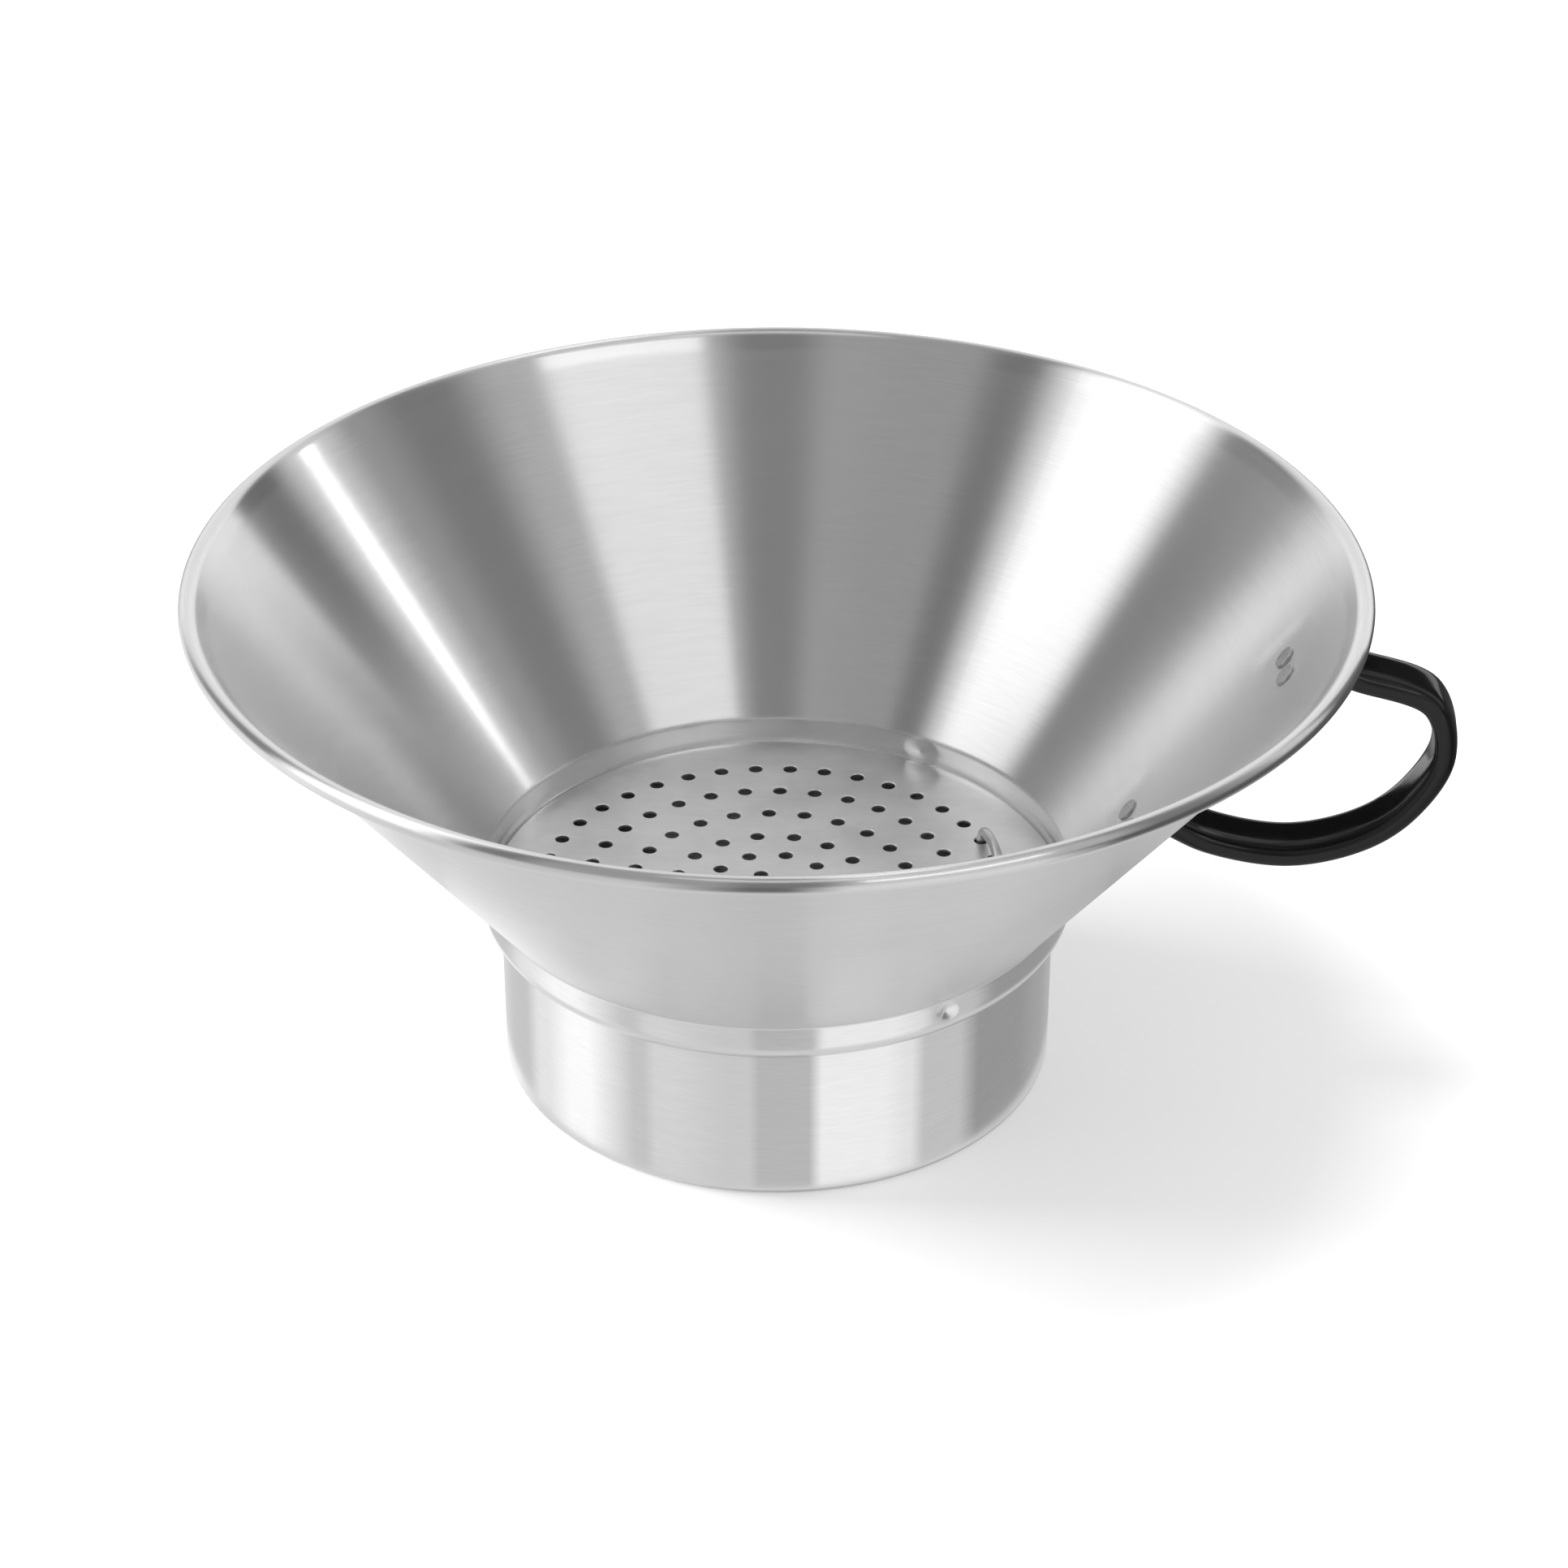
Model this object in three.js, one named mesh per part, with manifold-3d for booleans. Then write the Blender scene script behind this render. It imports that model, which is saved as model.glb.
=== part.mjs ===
// Colander with a salt well: a spun aluminium funnel bowl on a closed well, a punched sieve plate that
// rests in the neck and lifts out by a wire loop, and a sleeved strip handle held by four rivets.
// Millimetres, +Z up. The origin is the centre of the base's underside. The handle points along +X.

import * as THREE from "three";
import { mergeVertices } from "three/addons/utils/BufferGeometryUtils.js";
import Module from "manifold-3d";

// Driving dimensions of the spun body, measured on its outside
const sheet = 1.2; // wall of the spun sheet
const wellRadius = 92.6;
const wellHeight = 55.2; // from the base to the crease where the shoulder starts
const baseCorner = 3; // round where the base turns up into the well
const neckStep = 5.8; // how far the neck stands out from the well
const shoulderRadius = 8; // round of the shoulder between them
const neckLength = 6.4; // straight part of the neck, from the shoulder to the cone
const rimRadius = 190;
const rimHeight = 180.7;
const beadDiameter = 5.3; // thickness of the rolled rim
const curlGap = 0.55; // left open between the edge of the roll and the cone

// Driving dimensions of the dents that keep the plate down
const dentRise = 4.5; // from the plate's top to the middle of the dents
const dentDepth = 1.3;
const dentRadius = 4; // round of the punch
const dentAzimuths = [64, 186, 309];

// Driving dimensions of the sieve plate
const plateThickness = 1.2;
const plateClearance = 0.3; // from the plate's edge to the dents that it passes
const holeDiameter = 4.7;
const holePitch = 12.3; // hole to hole along a ring
const fewestHoles = 3; // in the innermost ring
const edgeMargin = 17.9; // from the plate's edge to its outer ring of holes
const ringPitch = 15.15; // between the wide rings
const wideRings = 4;
const innerRingPitch = 12.1; // between the rings inside those
const ringTurns = [0.8, 2.9, 6.6, 14, 9.2, 30]; // degrees that each ring is turned
const patternShift = 2.1; // the pattern sits off the plate's centre, away from the handle

// Driving dimensions of the wire loop
const wireDiameter = 3;
const loopRise = 7; // from the plate to the wire's line at the top of the loop
const loopLean = 3; // how far each leg leans in as it rises
const loopCrown = 2; // from the top of the lean to the top of the loop
const clinchLength = 5.5; // of each leg, folded under the plate
const loopHoles = [1, 3]; // the holes of the outer ring that the legs go through

// Driving dimensions of the handle
const upperRivetDrop = 27.9; // from the top of the rim down to the upper rivets
const lowerRivetRise = 23.5; // from the start of the cone up to the lower rivets
const footMargin = 5.15; // from a rivet's middle to the side of the foot
const footLength = 12;
const footLip = 0.2; // how far the foot stands out from the strip on each face
const footCorner = 3;
const stripWidth = 13;
const stripThickness = 2.6;
const stripBend = 3.5; // from the corner of the bend above a foot to where the strip is straight
const sleeveSide = 2.7; // wall of the sleeve beside the strip
const sleeveWall = 2; // wall of the sleeve over the strip
const sleeveRound = 3;
// Points of the handle's line, [out, up] from the lower bend's corner, from half way and from the upper one
const lowerArm = [[18.6, -8.6], [45, -11.8]];
const grip = [[45, -34.1], [58.9, -21.7], [67.9, -2.3]];
const upperArm = [[37.7, -14.8], [13.9, -5.4]];

// Driving dimensions of the rivets
const rivetSpacing = 11.7;
const shankDiameter = 4;
const headDiameter = 7.8;
const headHeight = 0.9;
const headRound = 0.3;
const tailDiameter = 7;
const tailHeight = 1.6;
const tailRound = 0.9;

// Gap between pieces that are seated on each other or pass through each other
const seat = 0.3;

// Fineness of the round shapes
const turns = 56; // facets round the spun body
const cornerPieces = 3;
const shoulderPieces = 5;
const curlPieces = 10;
const ballSides = 20;
const ballRings = 12;
const holeSides = 8;
const plateSides = 96;
const rivetSides = 16;
const wireSides = 8;
const wireSteps = 44;
const stripSteps = 72;
const sleeveSteps = 48;
const sleevePieces = 2;

// Colours and finishes
const aluminium = { color: 0xcfcfd1, roughness: 0.35, metalness: 1 };
const steel = { color: 0xb4b4b6, roughness: 0.3, metalness: 1 };
const blackPlastic = { color: 0x0c0c0d, roughness: 0.15, metalness: 0 };

const wasm = await Module();
wasm.setup();
const radians = THREE.MathUtils.degToRad;
const up = new THREE.Vector3(0, 0, 1);

// A geometry with shared corners and no collapsed triangles, so that its surface is closed
function closed(geometry) {
  const bare = geometry.clone();
  bare.deleteAttribute("normal");
  bare.deleteAttribute("uv");
  const merged = mergeVertices(bare);
  const corners = [];
  for (let i = 0; i < merged.index.count; i += 3) {
    const [a, b, c] = merged.index.array.subarray(i, i + 3);
    if (a !== b && b !== c && c !== a) corners.push(a, b, c);
  }
  merged.setIndex(corners);
  return merged;
}

function toSolid(geometry) {
  const { attributes, index } = closed(geometry);
  const vertProperties = attributes.position.array;
  const triVerts = new Uint32Array(index.array);
  return new wasm.Manifold(new wasm.Mesh({ numProp: 3, vertProperties, triVerts }));
}

function toGeometry(solid) {
  const { vertProperties, triVerts } = solid.getMesh();
  const geometry = new THREE.BufferGeometry();
  geometry.setAttribute("position", new THREE.BufferAttribute(vertProperties, 3));
  geometry.setIndex(new THREE.BufferAttribute(triVerts, 1));
  return geometry;
}

function node(name, geometry, finish) {
  const mesh = new THREE.Mesh(geometry, new THREE.MeshStandardMaterial(finish));
  mesh.name = name;
  return mesh;
}

// A profile of [radius, height] points turned about the Z axis
function turned(profile, sides) {
  const geometry = new THREE.LatheGeometry(profile, sides);
  return geometry.rotateX(Math.PI / 2);
}

function onCircle(centre, radius, angle) {
  return new THREE.Vector2(Math.cos(angle), Math.sin(angle)).multiplyScalar(radius).add(centre);
}

// Points on an arc about a centre, from one angle to another
function arcPoints(centre, radius, from, to, pieces) {
  const angle = (i) => THREE.MathUtils.lerp(from, to, i / pieces);
  return Array.from({ length: pieces + 1 }, (_, i) => onCircle(centre, radius, angle(i)));
}

// A line moved sideways to its right by a distance, with its corners kept sharp
function offset(line, distance) {
  return line.map((point, i) => {
    const before = point.clone().sub(line[Math.max(i - 1, 0)]);
    const after = line[Math.min(i + 1, line.length - 1)].clone().sub(point);
    const into = (before.length() > 0 ? before : after).clone().normalize();
    const away = (after.length() > 0 ? after : before).clone().normalize();
    const along = into.clone().add(away).normalize();
    const stretch = distance / along.dot(into);
    return point.clone().add(new THREE.Vector2(along.y, -along.x).multiplyScalar(stretch));
  });
}

function circleShape(centre, radius, sides) {
  const points = arcPoints(centre, radius, 0, 2 * Math.PI, sides);
  return new THREE.Shape(points.slice(0, sides));
}

function rectangle(width, height) {
  const x = width / 2;
  const y = height / 2;
  return new THREE.Shape([[x, y], [-x, y], [-x, -y], [x, -y]].map((point) => new THREE.Vector2(...point)));
}

function roundedRectangle(width, height, round, pieces) {
  const radius = Math.min(round, width / 2, height / 2);
  const corners = rectangle(width - 2 * radius, height - 2 * radius).getPoints().slice(0, 4);
  const quarter = Math.PI / 2;
  const arcs = corners.map((corner, i) => arcPoints(corner, radius, i * quarter, (i + 1) * quarter, pieces));
  return new THREE.Shape(arcs.flat());
}

// A point [out, up] of the plane through the handle
function inPlane(point) {
  return new THREE.Vector3(point.x, 0, point.y);
}

// Lines of the spun sheet, half way through it, as [radius, height]
const half = sheet / 2;
const neckRadius = wellRadius + neckStep;
const neckLine = neckRadius - half;
const wellLine = wellRadius - half;
const shoulderLine = shoulderRadius - half;
const shoulderCentre = new THREE.Vector2(neckRadius - shoulderRadius, wellHeight);
shoulderCentre.y += Math.sqrt(shoulderRadius ** 2 - (wellRadius - shoulderCentre.x) ** 2);
const creaseAngle = -Math.acos((wellLine - shoulderCentre.x) / shoulderLine);
const coneStart = new THREE.Vector2(neckLine, shoulderCentre.y + neckLength);

const beadRadius = beadDiameter / 2;
const curlLine = beadRadius - half;
const curlCentre = new THREE.Vector2(rimRadius - beadRadius, rimHeight - beadRadius);
const curlSweep = 2 * Math.PI - Math.acos(1 - (sheet + curlGap) / beadRadius);
const toCurl = curlCentre.clone().sub(coneStart);
const coneAngle = toCurl.angle() + Math.asin(curlLine / toCurl.length());
const slope = new THREE.Vector2(Math.cos(coneAngle), Math.sin(coneAngle)); // up along the cone
const outward = new THREE.Vector2(slope.y, -slope.x); // square to the cone, away from the bowl

// From the axis, along the base and up the wall, to the end of the rolled rim
function sheetLine() {
  const corner = baseCorner - half;
  const cornerCentre = new THREE.Vector2(wellLine - corner, half + corner);
  const curlStart = coneAngle + Math.PI / 2;
  return [
    new THREE.Vector2(0, half),
    ...arcPoints(cornerCentre, corner, -Math.PI / 2, 0, cornerPieces),
    ...arcPoints(shoulderCentre, shoulderLine, creaseAngle, 0, shoulderPieces),
    coneStart,
    ...arcPoints(curlCentre, curlLine, curlStart, curlStart - curlSweep, curlPieces),
  ];
}

// A point on the cone's line at a height
function onCone(height) {
  return slope.clone().multiplyScalar((height - coneStart.y) / slope.y).add(coneStart);
}

// Seat of the plate on the inside of the shoulder, and the dents above it
const plateRadius = neckRadius - sheet - dentDepth - plateClearance;
const shoulderInside = shoulderRadius - sheet;
const ledgeDrop = Math.sqrt(shoulderInside ** 2 - (plateRadius - shoulderCentre.x) ** 2);
const plateBottom = shoulderCentre.y - ledgeDrop + seat;
const plateTop = plateBottom + plateThickness;
const dentHeight = plateTop + dentRise;

// Feet of the handle, flat on the outside of the cone
const upperRivetHeight = rimHeight - upperRivetDrop;
const lowerRivetHeight = coneStart.y + lowerRivetRise;
const footThickness = stripThickness + 2 * footLip;
const footWidth = rivetSpacing + 2 * footMargin;
const footDistance = half + seat + footThickness / 2; // from the cone's line to the foot's middle

function footMiddle(height) {
  return onCone(height).add(outward.clone().multiplyScalar(footDistance));
}

// The two rivets of a foot, square to it: Y runs outwards along the rivet, from the cone's line
function rivetFrames(height) {
  const place = onCone(height);
  const across = new THREE.Vector3(0, 1, 0);
  return [-1, 1].map((side) => {
    const axes = new THREE.Matrix4().makeBasis(inPlane(slope), inPlane(outward), across);
    return axes.setPosition(place.x, (side * rivetSpacing) / 2, place.y);
  });
}

function rivetHoles() {
  const radius = shankDiameter / 2 + seat;
  const length = 2 * (footDistance + footThickness);
  const frames = [...rivetFrames(upperRivetHeight), ...rivetFrames(lowerRivetHeight)];
  return frames.map((frame) => {
    const drill = new THREE.CylinderGeometry(radius, radius, length, rivetSides);
    return toSolid(drill.applyMatrix4(frame));
  });
}

// Spun body

function onAxis(points) {
  points[0].x = 0;
  return points;
}

function buildBody() {
  const line = sheetLine();
  const profile = [...onAxis(offset(line, half)), ...onAxis(offset(line, -half)).reverse()];
  let body = toSolid(turned(profile, turns));
  const bulge = dentRadius + sheet;
  const neckCore = new THREE.CylinderGeometry(neckLine, neckLine, 2 * bulge, turns).rotateX(Math.PI / 2);
  const inside = toSolid(neckCore.translate(0, 0, dentHeight));
  for (const azimuth of dentAzimuths) {
    const place = new THREE.Vector3(neckRadius - dentDepth + dentRadius, 0, dentHeight);
    place.applyAxisAngle(up, radians(azimuth));
    const ball = (radius) => new THREE.SphereGeometry(radius, ballSides, ballRings).translate(...place);
    body = body.add(toSolid(ball(bulge)).intersect(inside)).subtract(toSolid(ball(dentRadius)));
  }
  for (const hole of rivetHoles()) body = body.subtract(hole);
  return toGeometry(body);
}

// Sieve plate

// The rings of holes, from the outside in, each as the list of its holes' centres
function holeRings() {
  const middle = new THREE.Vector2(-patternShift, 0);
  const rings = ringTurns.map((turn, index) => {
    const wide = Math.min(index, wideRings - 1);
    const radius = plateRadius - edgeMargin - wide * ringPitch - (index - wide) * innerRingPitch;
    const count = Math.max(Math.round((2 * Math.PI * radius) / holePitch), 0);
    const start = radians(turn);
    return arcPoints(middle, radius, start, start + 2 * Math.PI, count).slice(0, count);
  });
  return rings.filter((ring) => ring.length >= fewestHoles);
}

// The two holes that the loop's legs go through
function legHoles() {
  const [outerRing] = holeRings();
  return loopHoles.map((index) => outerRing[index]);
}

function buildPlate() {
  const disc = circleShape(new THREE.Vector2(0, 0), plateRadius, plateSides);
  const legs = legHoles();
  const legRadius = (wireDiameter / 2 + seat) / Math.cos(Math.PI / holeSides);
  for (const centre of holeRings().flat()) {
    const leg = legs.some((hole) => hole.equals(centre));
    const radius = leg ? Math.max(holeDiameter / 2, legRadius) : holeDiameter / 2;
    disc.holes.push(circleShape(centre, radius, holeSides));
  }
  const flat = new THREE.ExtrudeGeometry(disc, { depth: plateThickness, bevelEnabled: false });
  return closed(flat.translate(0, 0, plateBottom));
}

// Wire loop, with its legs through two holes of the plate and folded outwards under it

function buildLoop() {
  const [first, last] = legHoles();
  const middle = first.clone().lerp(last, 0.5);
  const along = last.clone().sub(first).normalize();
  const reach = first.distanceTo(last) / 2;
  const wire = wireDiameter / 2;
  const under = plateBottom - seat - wire;
  const side = [
    [reach + clinchLength, under],
    [reach + wire, under],
    [reach, under + wire],
    [reach, plateTop],
    [reach - loopLean, plateTop + loopRise - loopCrown],
  ];
  const other = side.map(([out, height]) => [-out, height]).reverse();
  const place = ([out, height]) => {
    const { x, y } = along.clone().multiplyScalar(out).add(middle);
    return new THREE.Vector3(x, y, height);
  };
  const line = [...side, [0, plateTop + loopRise], ...other].map(place);
  const section = circleShape(new THREE.Vector2(0, 0), wire, wireSides);
  const path = new THREE.CatmullRomCurve3(line);
  return closed(new THREE.ExtrudeGeometry(section, { steps: wireSteps, extrudePath: path }));
}

// Handle: a strip that bends off the top of each foot, and its sleeve

// The corner of the bend above a foot, where the foot's line meets the arm's line
function bendCorner(height) {
  return footMiddle(height).add(slope.clone().multiplyScalar(footLength / 2 + stripBend));
}

// The line of the arms and the grip, and that line with the bends and the feet
function handleLines() {
  const lower = bendCorner(lowerRivetHeight);
  const upper = bendCorner(upperRivetHeight);
  const middle = lower.clone().lerp(upper, 0.5);
  const from = (corner) => (point) => new THREE.Vector2(...point).add(corner);
  const arms = [...lowerArm.map(from(lower)), ...grip.map(from(middle)), ...upperArm.map(from(upper))];
  const offBend = (corner, next) => next.clone().sub(corner).setLength(stripBend).add(corner);
  const start = offBend(lower, arms[0]);
  const end = offBend(upper, arms[arms.length - 1]);
  const loop = new THREE.CatmullRomCurve3([start, ...arms, end].map(inPlane));
  const footTop = (corner) => corner.clone().sub(slope.clone().multiplyScalar(stripBend));
  const line = (...points) => new THREE.LineCurve3(...points.map(inPlane));
  const bend = (...points) => new THREE.QuadraticBezierCurve3(...points.map(inPlane));
  const strip = new THREE.CurvePath();
  strip.add(line(footMiddle(lowerRivetHeight), footTop(lower)));
  strip.add(bend(footTop(lower), lower, start));
  strip.add(loop);
  strip.add(bend(end, upper, footTop(upper)));
  strip.add(line(footTop(upper), footMiddle(upperRivetHeight)));
  return { loop, strip };
}

function buildFoot(height) {
  const pad = roundedRectangle(footWidth, footLength, footCorner, cornerPieces);
  const foot = new THREE.ExtrudeGeometry(pad, { depth: footThickness, bevelEnabled: false });
  foot.translate(0, 0, -footThickness / 2);
  const axes = new THREE.Matrix4().makeBasis(new THREE.Vector3(0, 1, 0), inPlane(slope), inPlane(outward));
  return toSolid(foot.applyMatrix4(axes.setPosition(inPlane(footMiddle(height)))));
}

function buildCore(path) {
  const section = rectangle(stripWidth, stripThickness);
  let core = toSolid(new THREE.ExtrudeGeometry(section, { steps: stripSteps, extrudePath: path }));
  for (const height of [lowerRivetHeight, upperRivetHeight]) core = core.add(buildFoot(height));
  for (const hole of rivetHoles()) core = core.subtract(hole);
  return toGeometry(core);
}

function buildSleeve(path) {
  const boreWidth = stripWidth + 2 * seat;
  const boreHeight = stripThickness + 2 * seat;
  const width = boreWidth + 2 * sleeveSide;
  const height = boreHeight + 2 * sleeveWall;
  const section = roundedRectangle(width, height, sleeveRound, sleevePieces);
  section.holes.push(rectangle(boreWidth, boreHeight));
  return closed(new THREE.ExtrudeGeometry(section, { steps: sleeveSteps, extrudePath: path }));
}

// Rivets: the flat head is inside the bowl and the formed tail is on the foot

// How far the round sheet comes in towards the flat heads at their outer edges
function sheetFall(height) {
  const across = (rivetSpacing + headDiameter) / 2;
  const radius = onCone(height).x - half;
  return (radius - Math.sqrt(radius ** 2 - across ** 2)) * outward.x;
}

function buildRivets(height, names) {
  const headSeat = -half - seat - sheetFall(height);
  const headEnd = headSeat - headHeight;
  const tailSeat = footDistance + footThickness / 2 + seat;
  const tailEnd = tailSeat + tailHeight;
  const head = headDiameter / 2;
  const tail = tailDiameter / 2;
  const shank = shankDiameter / 2;
  const profile = [
    [0, headEnd], [head - headRound, headEnd], [head, headEnd + headRound], [head, headSeat],
    [shank, headSeat], [shank, tailSeat], [tail, tailSeat], [tail, tailEnd - tailRound],
    [tail - tailRound, tailEnd], [0, tailEnd],
  ].map((point) => new THREE.Vector2(...point));
  return rivetFrames(height).map((frame, i) => {
    const rivet = new THREE.LatheGeometry(profile, rivetSides);
    return node(names[i], closed(rivet.applyMatrix4(frame)), aluminium);
  });
}

const colander = new THREE.Group();
const sieve = new THREE.Group();
const handle = handleLines();
colander.add(node("body", buildBody(), aluminium));
colander.add(node("handle_core", buildCore(handle.strip), steel));
colander.add(node("handle_sleeve", buildSleeve(handle.loop), blackPlastic));
colander.add(...buildRivets(upperRivetHeight, ["rivet_upper_front", "rivet_upper_rear"]));
colander.add(...buildRivets(lowerRivetHeight, ["rivet_lower_front", "rivet_lower_rear"]));
sieve.add(node("sieve_plate", buildPlate(), aluminium));
sieve.add(node("lift_loop", buildLoop(), steel));
colander.add(sieve);

export default colander;
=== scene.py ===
# Looks of the colander with a salt well: fine meshes, finishes, a small studio and the camera.
# Lengths are in millimetres, and meshes are in metres. Azimuths run from +X, where the handle is.

import math

import bmesh
import bpy
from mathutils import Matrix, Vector


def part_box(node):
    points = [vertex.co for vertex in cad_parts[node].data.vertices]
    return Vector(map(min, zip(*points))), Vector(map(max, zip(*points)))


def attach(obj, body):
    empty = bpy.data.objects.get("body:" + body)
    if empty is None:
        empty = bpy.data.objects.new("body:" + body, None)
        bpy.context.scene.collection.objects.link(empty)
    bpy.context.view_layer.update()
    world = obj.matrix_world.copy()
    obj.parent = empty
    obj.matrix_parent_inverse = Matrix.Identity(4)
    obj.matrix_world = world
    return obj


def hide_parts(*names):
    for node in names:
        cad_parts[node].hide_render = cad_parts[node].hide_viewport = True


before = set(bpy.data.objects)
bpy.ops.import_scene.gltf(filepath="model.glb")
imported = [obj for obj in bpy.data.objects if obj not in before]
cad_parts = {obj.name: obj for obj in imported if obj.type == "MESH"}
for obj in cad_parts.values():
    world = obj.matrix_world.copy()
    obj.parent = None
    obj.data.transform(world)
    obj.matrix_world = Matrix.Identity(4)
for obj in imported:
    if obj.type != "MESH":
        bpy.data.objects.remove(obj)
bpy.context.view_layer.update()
MM = 0.001

# Spun body, as lines half way through its sheet
sheet = 1.2
half = sheet / 2
body_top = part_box("body")[1] / MM
rim_radius = body_top.x
rim_height = body_top.z
well_radius = 92.6
base_corner = 3
crease_height = 55.7  # where the well's wall turns out into the shoulder
crease_round = 0.9
neck_radius = 98.4
neck_bulge = 0.6  # how far the neck swells at the shoulder
shoulder_height = 56.95  # where the shoulder's line meets the neck's line
shoulder_round = 6.5
cone_height = 69.3  # where the cone starts
cone_round = 2.6
bead_diameter = 5.3
bead_lead = 3.6  # wider bend where the cone runs into the bead
curl_gap = 0.55

# Dents in the neck, as half widths, half heights and depths
dent_azimuths = [64, 186, 309]
dent_height = 64.5
dent_outside = (5.2, 4.4, 2.0)
dent_point = 1.25  # how pointed the dents are
dent_tip = 0.2  # share of them that is round at the tip
dent_inside = (7.5, 5.5, 1.4)

# Sieve plate
plate_low, plate_high = (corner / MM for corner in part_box("sieve_plate"))
plate_radius = 96.2
plate_edge = 0.35
hole_radius = 2.35
hole_pitch = 12.3
pattern_shift = 2.1
ring_radii = [77.7, 62.55, 47.4, 32.25, 20.15, 8.05]
ring_turns = [0.8, 2.9, 6.6, 14, 9.2, 30]

# Wire loop
wire = 1.7
loop_rise = 7
loop_lean = 3
loop_crown = 2
clinch_length = 5.5
loop_holes = [1, 3]
seat = 0.3

# Handle
rivet_heights = {"upper": rim_height - 27.9, "lower": cone_height + 23.5}
rivet_spacing = 11.7
foot_width = 22
foot_length = 12
foot_thickness = 3
foot_corner = 3
toe_share = 0.35  # share of its thickness that a foot has at its very end
toe_reach = 0.02
strip_width = 13
strip_thickness = 2.6
strip_bend = 3.5
strip_corner = 0.3
sleeve_width = 20.5
sleeve_height = 7.9
sleeve_fullness = 3.5
sleeve_end_round = 1.2
bore_fullness = 12
lower_arm = [(18.6, -8.6), (45, -11.8)]
grip = [(45, -34.1), (58.9, -21.7), (67.9, -2.3)]
upper_arm = [(38.8, -13.9), (13.9, -5.4)]

# Rivets
head_radius = 3.9
head_height = 0.9
head_round = 0.3
shank_radius = 2
tail_radius = 3.5
tail_height = 1.6
tail_round = 1.2

# Flat patches of the cone under the handle's feet, as half sizes across and along the cone
flat_across = 22
flat_along = 14
flat_share = 0.25

# Fineness, as lengths along the sheet, degrees round it and counts
hold = 0.3  # a spare row of points beside each bend keeps the straight stretches evenly lit
well_step = 12
neck_step = 0.6
cone_step = 2.2
turn_step = 1.5
fine_step = 0.3
fine_at_dents = 5
fine_at_feet = 12
foot_rows = 24  # closer together at the toe
rivet_sides = 40


# Flat geometry

def unit(angle):
    return Vector((math.cos(angle), math.sin(angle)))


def arc(centre, radius, start, end, pieces):
    return [centre + unit(start + (end - start) * i / pieces) * radius for i in range(pieces + 1)]


def fillet(before, corner, after, radius, pieces):
    into = (corner - before).normalized()
    away = (after - corner).normalized()
    turn = math.atan2(into.x * away.y - into.y * away.x, into.dot(away))
    side = math.copysign(1, turn)
    start = corner - into * radius * math.tan(abs(turn) / 2)
    centre = start + Vector((-into.y, into.x)) * side * radius
    first = math.atan2(start.y - centre.y, start.x - centre.x)
    return arc(centre, radius, first, first + turn, pieces)


# Points added along the straight stretches of a line, by a step that depends on the place
def spaced(line, step_at):
    points = [line[0]]
    for start, end in zip(line, line[1:]):
        length = (end - start).length
        if length > 4 * hold:
            count = math.ceil(length / step_at(start.lerp(end, 0.5)))
            stops = [hold, *(length * i / count for i in range(1, count)), length - hold]
            points += [start.lerp(end, stop / length) for stop in stops]
        points.append(end)
    return points


# A line moved to its right
def offset(line, distance):
    moved = []
    for i, point in enumerate(line):
        into = (point - line[max(i - 1, 0)]).normalized()
        away = (line[min(i + 1, len(line) - 1)] - point).normalized()
        along = (into + away).normalized()
        stretch = distance / max(along.dot(into), along.dot(away))
        moved.append(point + Vector((along.y, -along.x)) * stretch)
    return moved


def rounded_rectangle(width, height, radius, pieces=4):
    points = []
    for i, (x, y) in enumerate([(1, 1), (-1, 1), (-1, -1), (1, -1)]):
        centre = Vector((x * (width / 2 - radius), y * (height / 2 - radius)))
        points += arc(centre, radius, i * math.pi / 2, (i + 1) * math.pi / 2, pieces)
    return points


# An oval between an ellipse and its box, as the power says
def full_oval(width, height, power, pieces=56):
    points = []
    for i in range(pieces):
        x, y = unit(2 * math.pi * i / pieces)
        x = math.copysign(abs(x) ** (2 / power), x)
        y = math.copysign(abs(y) ** (2 / power), y)
        points.append(Vector((x * width / 2, y * height / 2)))
    return points


# A smooth curve through points, spaced by the square roots of the distances between them
def smooth_curve(points, pieces):
    ends = [points[0] * 2 - points[1], *points, points[-1] * 2 - points[-2]]
    curve = []
    for a, b, c, d in zip(ends, ends[1:], ends[2:], ends[3:]):
        t0 = 0
        t1 = t0 + math.sqrt((b - a).length)
        t2 = t1 + math.sqrt((c - b).length)
        t3 = t2 + math.sqrt((d - c).length)
        for i in range(pieces):
            t = t1 + (t2 - t1) * i / pieces
            ab = a.lerp(b, (t - t0) / (t1 - t0))
            bc = b.lerp(c, (t - t1) / (t2 - t1))
            cd = c.lerp(d, (t - t2) / (t3 - t2))
            abc = ab.lerp(bc, (t - t0) / (t2 - t0))
            bcd = bc.lerp(cd, (t - t1) / (t3 - t1))
            curve.append(abc.lerp(bcd, (t - t1) / (t2 - t1)))
    return [*curve, points[-1]]


def ease(x):
    x = min(max(x, 0), 1)
    return x * x * (3 - 2 * x)


# Meshes

def add_to_scene(name, data):
    thing = bpy.data.objects.new(name, data)
    bpy.context.scene.collection.objects.link(thing)
    return thing


# A smooth piece from a mesh under construction, which is used up
def finish_piece(mesh, work, material):
    bmesh.ops.recalc_face_normals(work, faces=work.faces)
    for face in work.faces:
        face.smooth = True
    work.to_mesh(mesh)
    work.free()
    mesh.materials.append(material)
    return add_to_scene(mesh.name, mesh)


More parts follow.
